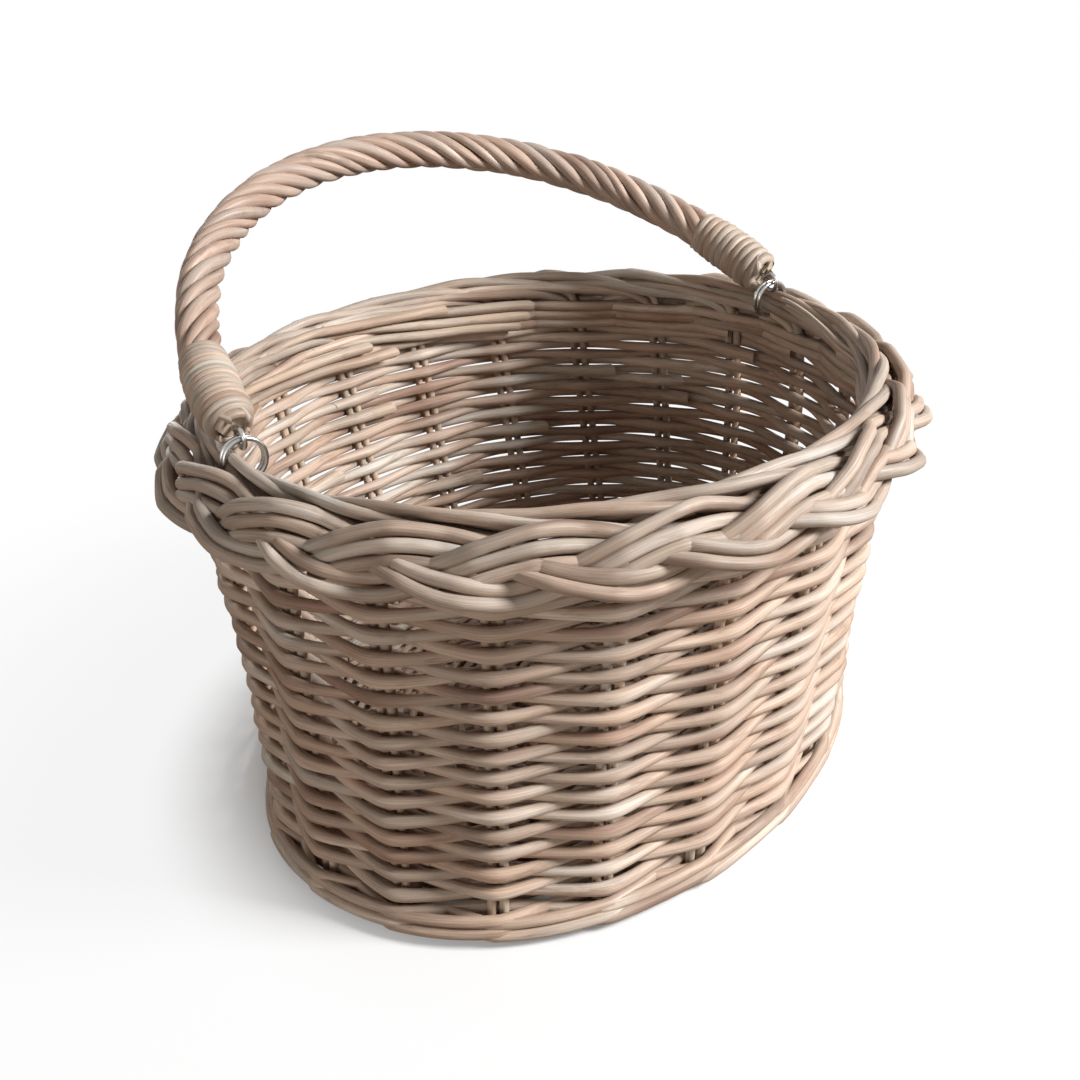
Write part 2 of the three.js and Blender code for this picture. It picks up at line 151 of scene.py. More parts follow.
# Base
STICK_RADIUS = 2.0 * MM
STICK_SPACING = 5 * MM
STICK_HEIGHT = 6.7 * MM
STICK_LAYER = 2.15 * MM
CROSS_REACH = 15 * MM
SPOKES_FROM = 30 * MM
BASE_EDGE = 6.4 * MM
BASE_ROD = 1.6 * MM
BASE_SWING = 3.3 * MM
BASE_INSET = 1.5 * MM
BASE_ROW_PITCH = 3.5 * MM
BASE_REACH = 118 * MM
BASE_WEAVE_FROM = 0.2
BASE_WEAVE_TO = 1.01
BASE_POINTS_PER_STAKE = 5

# Plaited border: one wave of a strand passes three stakes
PLAIT_STRANDS = 3
PLAIT_RADIUS = 144.1 * MM
PLAIT_HEIGHT = 158.3 * MM
PLAIT_SLOPE = 57
PLAIT_SWING = 8.5 * MM
PLAIT_LIFT = 2.7 * MM
PLAIT_HOLD = 1.5
PLAIT_BANK = 20
PLAIT_ROD = 2.4 * MM
PLAIT_ROD_SPACING = 5.2 * MM
PLAIT_START = math.pi * 7 / 6
PLAIT_DRAWN_IN = 3.5 * MM
PLAIT_SAG = 2.5 * MM
PLAIT_SAG_FACING = 135

# Rods of a strand: place across it, then where each starts and ends in degrees of the strand's wave
PLAIT_ROWS = ((-0.5, 344, 344 + 376), (0.5, 324, 324 + 376), (1.5, 168, 320))
PLAIT_START_SPREAD = 7
PLAIT_WAVE_LENGTH = 22 * MM
PLAIT_STEP = 1.7 * MM
PLAIT_WANDER_REACH = 20 * MM
PLAIT_ROW_WANDER = 0.05
PLAIT_WANDER = 0.2 * MM
PLAIT_THICKNESS_WANDER = 0.03

# Handle
HANDLE_ANGLE = 33.5
PIVOT_RADIUS = 126.5 * MM
PIVOT_RISE = 4.7 * MM
PIVOT_HEIGHT = 171.8 * MM + PIVOT_RISE
ARCH_HEIGHT = 147 * MM
REST_GAP = 0.4 * MM
REST_REACH = 11 * MM
BINDING_OUTSIDE = 10.2 * MM
CORE_RADIUS = 3.6 * MM
CORE_START = 6.5 * MM
CORE_FILL = 1 * MM
EYE_RADIUS = 3.59 * MM
EYE_TURN = 345
SHANK_LENGTH = 14 * MM
WIRE = 0.9 * MM
SHANK_GAP = 1.5 * WIRE
RING_CLEARANCE = 1.3 * MM
RING_PITCH = 2.3 * MM

# Rope: place of each rod round it in degrees and its radius in millimetres, then its form and unevenness
ROPE_RODS = ((0, 2.75), (57, 2.5), (107, 2.3), (148, 1.9), (193, 2.5), (250, 2.75), (305, 2.4))
ROPE_START = 8.5 * MM
ROPE_OUTSIDE = 8.25 * MM
ROPE_PITCH = 72 * MM
ROPE_STEP = 1 * MM
ROPE_SQUEEZE = 1.6 * MM
ROPE_SQUEEZE_REACH = 16 * MM
ROPE_SQUEEZE_FULL = 0.3
ROPE_TURN_WANDER = 0.06
ROPE_TURN_REACH = 30 * MM
ROPE_WANDER = 0.14 * MM
ROPE_WANDER_REACH = 25 * MM

# Cane bindings: they close in on the core at the ring, and on the rope at their other end
CANE_OUTSIDE = 10.15 * MM
CANE_START = 5.6 * MM
BINDING_LENGTH = 38.5 * MM
CANE_CLOSES_OVER = 9 * MM
CANE_DRAWN_IN = 1.3 * MM
CANE_DRAWN_OVER = 14 * MM
CANE_DRAWN_POWER = 1.5
CANE_POINTS_PER_TURN = 24
CANE_STEP = 2.3 * MM
CANE_WANDER = 0.14 * MM
CANE_WANDER_REACH = 12 * MM

# Radius and pitch of each binding's cane
LEFT_CANE = (1.6 * MM, 2.45 * MM)
RIGHT_CANE = (2.3 * MM, 3.7 * MM)

# Frayed cane ends: place round the handle, then length, start and distance from its middle in millimetres
FRAYED_ENDS = ((20, 6.5, 4.0, 6.8), (75, 5, 4.6, 7.2), (140, 6, 4.2, 6.4), (215, 5.5, 4.8, 7.4),
               (290, 6.5, 4.4, 6.8))
FRAYED_TURN = 45
FRAYED_CURL = 1.2
FRAYED_THICKNESS = 0.75

# Round rods in general, and how far apart the grain of two rods is taken
ROD_SIDES = 10
ROD_UNEVENNESS = 0.08
ROD_LUMP = 30 * MM
ROD_SLANT = 0.6
GRAIN_APART = 3.713
SEED_PER_LINE = 11
SIDE_FACE_CORNERS = 4
CRISP_EDGE = 0.9
VERY_END = 0.00001

SEED = 7
rng = np.random.default_rng(SEED)


# Shapes of the basket

def wall_point(angle, height, outward):
    """Points of the wall: angle in degrees, height above the floor, distance outside the wall's line."""
    share = height / STAKE_TOP
    short = BASE_SHORT + (RIM_RADIUS - BASE_SHORT) * share
    long = BASE_LONG + (RIM_RADIUS - BASE_LONG) * share
    turn = np.radians(angle - OVAL_ANGLE)
    normal_x = long * np.cos(turn)
    normal_y = short * np.sin(turn)
    length = np.hypot(normal_x, normal_y)
    x = short * np.cos(turn) + outward * normal_x / length
    y = long * np.sin(turn) + outward * normal_y / length
    cosine = math.cos(math.radians(OVAL_ANGLE))
    sine = math.sin(math.radians(OVAL_ANGLE))
    return np.stack([x * cosine - y * sine, x * sine + y * cosine, height + 0 * x], axis=-1)


def stake_angle(i):
    return FIRST_STAKE + i * 360 / STAKES


def polar(angle, radius, height):
    turn = np.radians(angle)
    return np.stack([radius * np.cos(turn), radius * np.sin(turn), height + 0 * turn], axis=-1)


def smooth(knots, count):
    """A smooth line of count points through the given knots."""
    knots = np.array(knots, dtype=float)
    padded = np.vstack([2 * knots[0] - knots[1], knots, 2 * knots[-1] - knots[-2]])
    t = np.linspace(0, len(knots) - 1, count)
    i = np.minimum(t.astype(int), len(knots) - 2)
    u = (t - i)[:, None]
    a, b, c, d = padded[i], padded[i + 1], padded[i + 2], padded[i + 3]
    bend = (2 * a - 5 * b + 4 * c - d) * u ** 2 + (3 * b - a - 3 * c + d) * u ** 3
    return 0.5 * (2 * b + (c - a) * u + bend)


def wander(count, step, amount, reach):
    """A slow random swing along a rod's points, zero on average."""
    knots = rng.normal(0, amount, max(int(count * step / reach) + 3, 4))
    return smooth(knots[:, None], count)[:, 0]


# Node trees

class Wiring:
    """Adds nodes to a tree. An input is given a plain value or another node's output."""

    def __init__(self, tree):
        self.nodes = tree.nodes
        self.links = tree.links

    def feed(self, socket, value):
        if isinstance(value, bpy.types.NodeSocket):
            self.links.new(value, socket)
        else:
            socket.default_value = value

    def add(self, kind, inputs=None, **settings):
        node = self.nodes.new(kind)
        for key, value in settings.items():
            setattr(node, key, value)
        for key, value in (inputs or {}).items():
            self.feed(node.inputs[key], value)
        return node

    def calc(self, operation, *values):
        return self.add("ShaderNodeMath", dict(enumerate(values)), operation=operation).outputs[0]

    def vector(self, x, y, z):
        return self.add("ShaderNodeCombineXYZ", {0: x, 1: y, 2: z}).outputs[0]

    def ranged(self, value, limits, results=(0.0, 1.0)):
        """The value carried over from the limits to the results, easing in and out."""
        inputs = dict(enumerate((value, *limits, *results)))
        return self.add("ShaderNodeMapRange", inputs, interpolation_type="SMOOTHSTEP").outputs[0]

    def mix(self, factor, a, b, mode="MIX"):
        """Two colours mixed."""
        inputs = {0: factor, 6: a, 7: b}
        return self.add("ShaderNodeMix", inputs, data_type="RGBA", blend_type=mode).outputs[2]

    def remember(self, geometry, domain, kind, **fields):
        """Keeps values of each point or curve for the nodes that follow."""
        node = self.add("GeometryNodeCaptureAttribute", domain=domain)
        for name in fields:
            node.capture_items.new(kind, name)
        for name, value in fields.items():
            self.feed(node.inputs[name], value)
        self.feed(node.inputs[0], geometry)
        return node.outputs

    def store(self, geometry, domain, kind, name, value):
        """Writes a named attribute that the materials read."""
        inputs = {"Geometry": geometry, "Name": name, "Value": value}
        return self.add("GeometryNodeStoreNamedAttribute", inputs, data_type=kind, domain=domain).outputs[0]


def rod_tree():
    """Geometry Nodes tree that sweeps a round rod along every line."""
    group = bpy.data.node_groups.new("rod_along_lines", "GeometryNodeTree")
    face = group.interface
    face.new_socket("Lines", in_out="INPUT", socket_type="NodeSocketGeometry")
    face.new_socket("Sides", in_out="INPUT", socket_type="NodeSocketInt")
    for label in ("Radius", "Unevenness", "Lump length", "Cut slant", "Seed"):
        face.new_socket(label, in_out="INPUT", socket_type="NodeSocketFloat")
    face.new_socket("Material", in_out="INPUT", socket_type="NodeSocketMaterial")
    face.new_socket("Rods", in_out="OUTPUT", socket_type="NodeSocketGeometry")
    tree = Wiring(group)
    calc = tree.calc
    given = tree.add("NodeGroupInput").outputs

    # What each rod remembers: its direction, its length from the start and its share of the way there,
    # and a number of its own
    tangent = tree.add("GeometryNodeInputTangent").outputs[0]
    headed = tree.remember(given["Lines"], "POINT", "VECTOR", Direction=tangent)
    way = tree.add("GeometryNodeSplineParameter").outputs
    along = tree.remember(headed[0], "POINT", "FLOAT", Length=way["Length"], Share=way["Factor"])
    index = tree.add("GeometryNodeInputIndex").outputs[0]
    numbered = tree.remember(along[0], "CURVE", "FLOAT", Number=index)
    own = calc("ADD", calc("MULTIPLY", numbered["Number"], GRAIN_APART), given["Seed"])

    # Thick and thin places
    place = tree.vector(calc("DIVIDE", along["Length"], given["Lump length"]), own, 0.0)
    lumps = tree.add("ShaderNodeTexNoise", {"Vector": place, "Scale": 1, "Detail": 2}, noise_dimensions="2D")
    swell = calc("MULTIPLY", calc("SUBTRACT", lumps.outputs[0], 0.5), 2)
    swell = calc("ADD", calc("MULTIPLY", swell, given["Unevenness"]), 1)
    thickness = tree.add("GeometryNodeInputRadius").outputs[0]
    radius = calc("MULTIPLY", calc("MULTIPLY", thickness, swell), given["Radius"])
    thick = tree.add("GeometryNodeSetCurveRadius", {"Curve": numbered[0], "Radius": radius}).outputs[0]

    # Round section
    circle = tree.add("GeometryNodeCurvePrimitiveCircle", {"Resolution": given["Sides"], "Radius": 1})
    position = tree.add("GeometryNodeInputPosition").outputs[0]
    section = tree.remember(circle.outputs[0], "POINT", "VECTOR", Section=position)
    swept = tree.add("GeometryNodeCurveToMesh", {"Curve": thick, "Profile Curve": section[0],
                                                 "Scale": thickness, "Fill Caps": True}).outputs[0]

    # Ends cut on the slant
    across = tree.add("ShaderNodeSeparateXYZ", {0: section["Section"]}).outputs
    at_last = calc("GREATER_THAN", along["Share"], 1 - VERY_END)
    at_end = calc("ADD", at_last, calc("LESS_THAN", along["Share"], VERY_END))
    slant = calc("MULTIPLY", calc("MULTIPLY", across[0], given["Cut slant"]), given["Radius"])
    reach = calc("MULTIPLY", slant, at_end)
    push = tree.add("ShaderNodeVectorMath", {0: headed["Direction"], "Scale": reach},
                    operation="SCALE").outputs[0]
    cut = tree.add("GeometryNodeSetPosition", {"Geometry": swept, "Offset": push}).outputs[0]

    # The rod laid out straight, for its grain
    straight = tree.vector(calc("MULTIPLY", across[0], given["Radius"]),
                           calc("MULTIPLY", across[1], given["Radius"]), calc("ADD", along["Length"], own))
    grained = tree.store(cut, "POINT", "FLOAT_VECTOR", "rod_space", straight)

    # Cut faces are marked, and the edges round them are crisp
    corners = tree.add("GeometryNodeInputMeshFaceNeighbors").outputs["Vertex Count"]
    is_cut = calc("GREATER_THAN", corners, SIDE_FACE_CORNERS)
    marked = tree.store(grained, "FACE", "FLOAT", "cut_face", is_cut)
    soft = tree.add("GeometryNodeSetShadeSmooth", {"Geometry": marked}, domain="FACE").outputs[0]
    turn = tree.add("GeometryNodeInputMeshEdgeAngle").outputs[0]
    crisp = tree.add("GeometryNodeSetShadeSmooth", {"Geometry": soft, "Shade Smooth": False,
                                                    "Selection": calc("GREATER_THAN", turn, CRISP_EDGE)},
                     domain="EDGE").outputs[0]

    real = tree.add("GeometryNodeRealizeInstances", {0: crisp}).outputs[0]
    painted = tree.add("GeometryNodeSetMaterial", {"Geometry": real, "Material": given["Material"]})
    tree.add("NodeGroupOutput", {"Rods": painted.outputs[0]})
    return group


ROD_TREE = rod_tree()


def rods(name, lines, radius, material, sides=ROD_SIDES, unevenness=ROD_UNEVENNESS, lump=ROD_LUMP,
         slant=ROD_SLANT, body="basket", replaces=()):
    """A piece made of round rods, one along each line. A line is its points, or points and thickness."""
    curve = bpy.data.curves.new(name + "_lines", "CURVE")
    curve.dimensions = "3D"
    for line in lines:
        points, thickness = line if isinstance(line, tuple) else (line, np.ones(len(line)))
        spline = curve.splines.new("POLY")
        spline.points.add(len(points) - 1)
        spline.points.foreach_set("co", np.hstack([points, np.ones((len(points), 1))]).ravel())
        spline.points.foreach_set("radius", thickness)
    source = bpy.data.objects.new(name + "_lines", curve)
    bpy.context.scene.collection.objects.link(source)
    modifier = source.modifiers.new("Rods", "NODES")
    modifier.node_group = ROD_TREE
    seed = float(len(name) + SEED_PER_LINE * len(lines))
    values = {"Radius": radius, "Sides": sides, "Unevenness": unevenness, "Lump length": lump,
              "Cut slant": slant, "Seed": seed, "Material": material}
    for item in ROD_TREE.interface.items_tree:
        if item.in_out == "INPUT" and item.name in values:
            modifier[item.identifier] = values[item.name]
    evaluated = source.evaluated_get(bpy.context.evaluated_depsgraph_get())
    mesh = bpy.data.meshes.new_from_object(evaluated)
    mesh.name = name
    bpy.data.objects.remove(source)
    bpy.data.curves.remove(curve)
    piece = bpy.data.objects.new(name, mesh)
    bpy.context.scene.collection.objects.link(piece)
    if replaces:
        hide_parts(*replaces)
    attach(piece, body)
    return piece


# Materials

# How often each pattern of the grain repeats in a metre: across a rod twice, and along it
TONE_GRAIN = (14, 14, 1)
HUE_GRAIN = (4, 4, 9)
STREAK_GRAIN = (1900, 1900, 45)
STAIN_GRAIN = (350, 350, 70)
FIBRE_GRAIN = (2600, 2600, 160)
PATCHES = 26
PATCH_SHARE = 0.25
FIBRE_SHARE = 0.5

# Where each pattern begins and ends to show
DARK_TO_MIDDLE = (0.34, 0.5)
MIDDLE_TO_PALE = (0.5, 0.68)
HUE_LIMITS = (0.42, 0.58)
STREAK_LIMITS = (0.35, 0.65)
STAIN_LIMITS = (0.52, 0.72)
ROUGH_LIMITS = (0.3, 0.7)
ROUGHNESS = (0.66, 0.46)
WARM = (1.05, 0.97, 0.93, 1)
COOL = (0.95, 0.965, 0.98, 1)
STAIN = (112, 84, 66)
CUT = (186, 168, 147)
GRAIN_DEPTH = 0.4 * MM
WICKER_GLOSS = 0.42

STEEL_TINT = (172, 171, 168)
STEEL_SCRATCHES = 900
STEEL_ROUGHNESS = (0.16, 0.42)


def linear(red, green, blue):
    """The renderer's linear colour for one picked on screen, in sRGB values from 0 to 255."""
    def one(value):
        value /= 255
        return value / 12.92 if value <= 0.04045 else ((value + 0.055) / 1.055) ** 2.4
    return (one(red), one(green), one(blue), 1)


def grain_group():
    """Bare wicker: slow changes of tone along each rod, fine streaks, stains, and pale cut faces."""
    group = bpy.data.node_groups.new("wicker_grain", "ShaderNodeTree")
    face = group.interface
    for label in ("Dark", "Middle", "Pale", "Cut"):
        face.new_socket(label, in_out="INPUT", socket_type="NodeSocketColor")
    for label in ("Tone length", "Streaks", "Stains"):
        face.new_socket(label, in_out="INPUT", socket_type="NodeSocketFloat")
    face.new_socket("Colour", in_out="OUTPUT", socket_type="NodeSocketColor")
    face.new_socket("Roughness", in_out="OUTPUT", socket_type="NodeSocketFloat")
    face.new_socket("Height", in_out="OUTPUT", socket_type="NodeSocketFloat")
    tree = Wiring(group)
    calc, mix, ranged = tree.calc, tree.mix, tree.ranged
    given = tree.add("NodeGroupInput").outputs
    rod = tree.add("ShaderNodeAttribute", attribute_name="rod_space").outputs["Vector"]
    cut = tree.add("ShaderNodeAttribute", attribute_name="cut_face").outputs["Fac"]
    place = tree.add("ShaderNodeTexCoord").outputs["Object"]

    def noise(vector, detail, scale=1, rough=0.5):
        inputs = {"Vector": vector, "Scale": scale, "Detail": detail, "Roughness": rough}
        return tree.add("ShaderNodeTexNoise", inputs).outputs[0]

    def along_rod(repeats):
        return tree.add("ShaderNodeVectorMath", {0: rod, 1: repeats}, operation="MULTIPLY").outputs[0]

    tone = noise(along_rod(TONE_GRAIN), detail=2, scale=calc("DIVIDE", 1.0, given["Tone length"]))
    patch = noise(place, detail=2, scale=PATCHES)
    tone = calc("ADD", calc("MULTIPLY", tone, 1 - PATCH_SHARE), calc("MULTIPLY", patch, PATCH_SHARE))
    colour = mix(ranged(tone, DARK_TO_MIDDLE), given["Dark"], given["Middle"])
    colour = mix(ranged(tone, MIDDLE_TO_PALE), colour, given["Pale"])

    hue = ranged(noise(along_rod(HUE_GRAIN), detail=1), HUE_LIMITS)
    colour = mix(1.0, colour, mix(hue, WARM, COOL), "MULTIPLY")

    streak = noise(along_rod(STREAK_GRAIN), detail=3, rough=0.6)
    between = calc("SUBTRACT", 1.0, ranged(streak, STREAK_LIMITS))
    shade = calc("SUBTRACT", 1.0, calc("MULTIPLY", given["Streaks"], between))
    grey = tree.add("ShaderNodeCombineColor", {0: shade, 1: shade, 2: shade}).outputs[0]
    colour = mix(1.0, colour, grey, "MULTIPLY")

    stain = ranged(noise(along_rod(STAIN_GRAIN), detail=4, rough=0.65), STAIN_LIMITS)
    colour = mix(calc("MULTIPLY", stain, given["Stains"]), colour, linear(*STAIN))
    colour = mix(cut, colour, given["Cut"])
    fibre = noise(along_rod(FIBRE_GRAIN), detail=3, rough=0.6)
    height = calc("ADD", streak, calc("MULTIPLY", fibre, FIBRE_SHARE))
    rough = ranged(streak, ROUGH_LIMITS, ROUGHNESS)
    tree.add("NodeGroupOutput", {"Colour": colour, "Roughness": rough, "Height": height})
    return group


GRAIN = grain_group()


def new_material(name):
    """A new material, its wiring and its shader."""
    material = bpy.data.materials.new(name)
    material.use_nodes = True
    tree = Wiring(material.node_tree)
    return material, tree, tree.nodes["Principled BSDF"]


def wicker(name, dark, middle, pale, cut=CUT, tone=0.14, streaks=0.24, stains=0.4, bump=0.4):
    material, tree, shader = new_material(name)
    grain = tree.add("ShaderNodeGroup", node_tree=GRAIN)
    for label, colour in (("Dark", dark), ("Middle", middle), ("Pale", pale), ("Cut", cut)):
        grain.inputs[label].default_value = linear(*colour)
    for label, value in (("Tone length", tone), ("Streaks", streaks), ("Stains", stains)):
        grain.inputs[label].default_value = value
    relief = tree.add("ShaderNodeBump", {"Strength": bump, "Distance": GRAIN_DEPTH,
                                         "Height": grain.outputs["Height"]})
    tree.feed(shader.inputs["Base Color"], grain.outputs["Colour"])
    tree.feed(shader.inputs["Roughness"], grain.outputs["Roughness"])
    tree.feed(shader.inputs["Normal"], relief.outputs[0])
    shader.inputs["Specular IOR Level"].default_value = WICKER_GLOSS
    return material


def steel_wire():
    material, tree, shader = new_material("steel_wire")
    shader.inputs["Base Color"].default_value = linear(*STEEL_TINT)
    shader.inputs["Metallic"].default_value = 1
    place = tree.add("ShaderNodeTexCoord").outputs["Object"]
    scratch = tree.add("ShaderNodeTexNoise", {"Vector": place, "Scale": STEEL_SCRATCHES, "Detail": 3})
    smoothest, roughest = STEEL_ROUGHNESS
    spread = tree.add("ShaderNodeMapRange", {0: scratch.outputs[0], 3: smoothest, 4: roughest})
    tree.feed(shader.inputs["Roughness"], spread.outputs[0])
    return material


WALL_WICKER = wicker("wall_wicker", (152, 123, 106), (193, 172, 154), (220, 210, 197))
BORDER_WICKER = wicker("border_wicker", (138, 117, 102), (181, 165, 150), (213, 205, 195), stains=0.3)
STAKE_WICKER = wicker("stake_wicker", (168, 146, 128), (194, 176, 157), (212, 200, 184))
ROPE_WICKER = wicker("rope_wicker", (148, 122, 108), (184, 163, 148), (208, 195, 182))
CANE = wicker("split_cane", (160, 141, 125), (184, 167, 151), (204, 191, 176), tone=0.07, streaks=0.25)
STEEL = steel_wire()


# Wall

def waves(parts, turn, height):
    return sum(size * np.sin(count * turn + shift + change * height) for size, count, shift, change in parts)


def sway(angle, height):
    """Slow unevenness that all rows share: outward and upward."""
    turn = np.radians(angle)
    fade = np.clip(height / SWAY_FADE_BOTTOM, 0, 1) * np.clip((STAKE_TOP - height) / SWAY_FADE_TOP, 0, 1)
    out = waves(SWAY_OUT, turn, height) * fade
    for outward, middle, reach, direction, both in BULGES:
        facing = np.cos(turn - math.radians(direction))
        facing = facing if both else np.clip(facing, 0, 1)
        out = out + outward * MM * np.exp(-((height / MM - middle) / reach) ** 2) * facing ** 2
    return out, waves(SWAY_UP, turn, height) * fade


def laid_round(stake, height, offset, wobble=WOBBLE):
    """A line through the wall at stake numbers, heights and offsets, with the wall's unevenness."""
    angle = stake_angle(stake)
    count = len(stake)
    out, rise = sway(angle, height)
    offset = offset + out + wander(count, ROD_STEP, wobble, WOBBLE_REACH_OUT)
    height = height + rise + wander(count, ROD_STEP, wobble * WOBBLE_UP_SHARE, WOBBLE_REACH_UP)
    return wall_point(angle, height, offset)


def steps_for(stakes):
    return int(stakes * STAKE_SPACING / ROD_STEP) + 2


def weaver_path(weaver, passed):
    """Stake number, height, offset and thickness of a side weaver that has passed so many stakes."""
    stake = weaver * STAKES / 2 + passed
    wave = WEAVER_STRAIGHTNESS * np.cos(np.pi * (stake + weaver))
    swing = np.arcsin(wave) / math.asin(WEAVER_STRAIGHTNESS)
    offset = WALL_MIDDLE + (OUTSIDE + INSIDE) / 2 * swing
    height = WEAVE_START + np.clip(passed, 0, WEAVE_TOTAL) * WEAVE_CLIMB + INSIDE_RISE * (1 - swing) / 2
    return stake, height, offset, 1 - WEAVER_SQUEEZE * (1 - swing ** 2)


def side_weavers():
    """Two weavers chase each other up the wall. Each is pieced from rods that meet inside the wall."""
    for weaver, letter in enumerate("ab"):
        lines = []
        at = 0.0
        while at < WEAVE_TOTAL:
            span = float(rng.integers(*ROD_PASSES) * 2)
            # The first weaver starts outside, so its first rod passes one stake more to end inside
            if at == 0 and weaver == 0:
                span += 1
            span = min(span, WEAVE_TOTAL - at)
            first = at - ROD_OVERLAP
            last = at + span + ROD_OVERLAP
            passed = np.linspace(first, last, steps_for(last - first))
            stake, height, offset, thickness = weaver_path(weaver, passed)
            points = laid_round(stake, height, offset, WEAVER_WOBBLE)
            lines.append((points, thickness * np.linspace(*WEAVER_TAPER, len(passed))))
            at += span
        nodes = [f"side_weaver_{letter}{i}" for i in range(1, WEAVER_NODES + 1)]
        rods(f"side_weaver_{letter}", lines, WEAVER_RADIUS, WALL_WICKER, replaces=nodes)


def wale(name, bottom, top, turns, outward):
    """Three rods that climb together, begun and ended a stake apart, inside the wall.

    Each comes out low, passes two stakes and goes in high.
    """
    lines = []
    whole = turns * STAKES
    half = WALE_RODS / 2
    for rod in range(WALE_RODS):
        first = -rod % WALE_RODS
        last = whole - (whole + rod) % WALE_RODS
        passed = np.linspace(first, last, steps_for(last - first))
        phase = (passed + rod) % WALE_RODS
        wave = np.cos(2 * np.pi * (phase - half) / WALE_RODS)
        outermost = OUTSIDE + outward * (1 - WALE_DRAWN_BACK * passed / whole)
        offset = -INSIDE + (outermost + INSIDE) * np.minimum((wave + 1) / WALE_SHARPNESS, 1.0)
        climb = bottom + (top - bottom) * passed / whole
        rise = WALE_RISE * (phase - half) / half * np.clip(wave + WALE_RISE_WIDTH, 0, 1)
        lines.append(laid_round(passed, np.maximum(climb + rise, WALE_LOWEST), offset))
    nodes = [f"{name}_{i}" for i in range(1, WALE_RODS + 1)]
    rods(name, lines, WALE_RADIUS, WALL_WICKER, replaces=nodes)


def weaver_ends():
    """The thick end of a new weaver stands off inside a stake. Its other end runs on inside the row."""
    lines = []
    count = 40
    for stake, height in WEAVER_ENDS:
        # The first weaver is inside at the odd stakes, the second at the even ones
        weaver = 1 - stake % 2
        climbed = (height * MM - WEAVE_START) / WEAVE_CLIMB
        passed = stake - weaver * STAKES / 2
        passed += STAKES * round((climbed - passed) / STAKES)
        beyond = np.linspace(-END_BEFORE, END_BEYOND, count)
        on_stake, path_height, offset, thickness = weaver_path(weaver, passed + np.maximum(beyond, 0))
        stand_off = END_STAND_OFF * (1 - np.clip(beyond + END_BEFORE, 0, 1))
        points = laid_round(on_stake + np.minimum(beyond, 0), path_height, offset - stand_off)
        lines.append((points, thickness * np.linspace(*END_TAPER, count)))
    rods("weaver_ends", lines, WEAVER_RADIUS, STAKE_WICKER, slant=END_SLANT)


def uprights():
    lines = []
    count = 60
    for i in range(STAKES):
        for side in (-1, 1):
            height = np.linspace(STAKE_BOTTOM, STAKE_BEND, count)
            aside = math.degrees(STAKE_APART / 2 * side / RIM_RADIUS)
            angle = stake_angle(i) + aside + 0 * height
            out, _ = sway(angle, height)
            wobble = wander(count, STAKE_STEP, STAKE_WOBBLE, WOBBLE_REACH_UP)
            lines.append(wall_point(angle, height, WALL_MIDDLE - STAKE_INWARD + out + wobble))
    nodes = [f"stake_pair_{i:02d}" for i in range(1, STAKES + 1)]
    rods("uprights", lines, STAKE_RADIUS, STAKE_WICKER, replaces=nodes)


# Rim

def bent_over_tops():
    """The uprights lean over to the right, run along the rim, cross it and go down behind the plait."""
    lines = []
    count = 80
    for i in range(STAKES):
        for path in (BENT_OUTER, BENT_INNER):
            jitter = rng.normal(0, BENT_JITTER, (len(path), 3)) * BENT_JITTER_SHARES
            jitter[:BENT_STEADY_KNOTS] = 0
            passed, radius, height = smooth(np.array(path) + jitter, count).T
            points = polar(stake_angle(i + passed), radius * MM, height * MM)
            lines.append((points, np.linspace(*BENT_TAPER, count)))
    rods("bent_over_tops", lines, BENT_RADIUS, BORDER_WICKER, replaces=("rim_rod_ridge", "rim_rod_inner"))


def rim_ends():
    """Rods that come out from under the rim and end on the inside of the wall, cut on the slant."""
    lines = []
    count = 50
    for stake, height in RIM_ENDS:
        passed, inward, rise = smooth(RIM_END_PATH, count).T
        path = np.minimum(height + rise, RIM_END_HIGHEST) * MM
        lines.append((laid_round(stake + passed, path, -inward * MM), np.linspace(*RIM_END_TAPER, count)))
    rods("rim_ends", lines, WEAVER_RADIUS, STAKE_WICKER, slant=END_SLANT)


def ring_canes():
    """Two thin canes that come out at the right ring and lie along the inside of the rim."""
    lines = []
    count = 60
    for drop in RING_CANE_DROPS:
        angle, radius, height = smooth(RING_CANE_PATH, count).T
        lines.append(polar(angle - drop, (radius - RING_CANE_INWARD * drop) * MM, (height - drop) * MM))
    rods("ring_canes", lines, RING_CANE_RADIUS, STAKE_WICKER, sides=8)


# Border

def plait_point(turn, row):
    """Points of a rod in the plait: turn in radians round the rim, and its place in the strand."""
    slope = math.radians(PLAIT_SLOPE)
    wave = turn * STAKES / PLAIT_STRANDS + PLAIT_START
    lateral = PLAIT_SWING * np.sin(wave)
    lift = PLAIT_LIFT * np.clip(PLAIT_HOLD * np.sin(2 * wave), -1, 1)
    bank = math.radians(PLAIT_BANK) * np.cos(wave)
    lateral = lateral + row * PLAIT_ROD_SPACING * np.cos(bank)
    lift = lift + row * PLAIT_ROD_SPACING * np.sin(bank)
    azimuth = turn + math.radians(FIRST_STAKE)
    drawn_in = PLAIT_DRAWN_IN * np.clip(np.cos(azimuth), 0, 1) ** 2
    sag = PLAIT_SAG * np.clip(np.cos(azimuth - math.radians(PLAIT_SAG_FACING)), 0, 1)
    radius = PLAIT_RADIUS - drawn_in + lateral * math.cos(slope) + lift * math.sin(slope)
    height = PLAIT_HEIGHT - sag - lateral * math.sin(slope) + lift * math.cos(slope)
    return polar(np.degrees(azimuth), radius, height)


def plait_wander(count, amount):
    return wander(count, PLAIT_STEP, amount, PLAIT_WANDER_REACH)


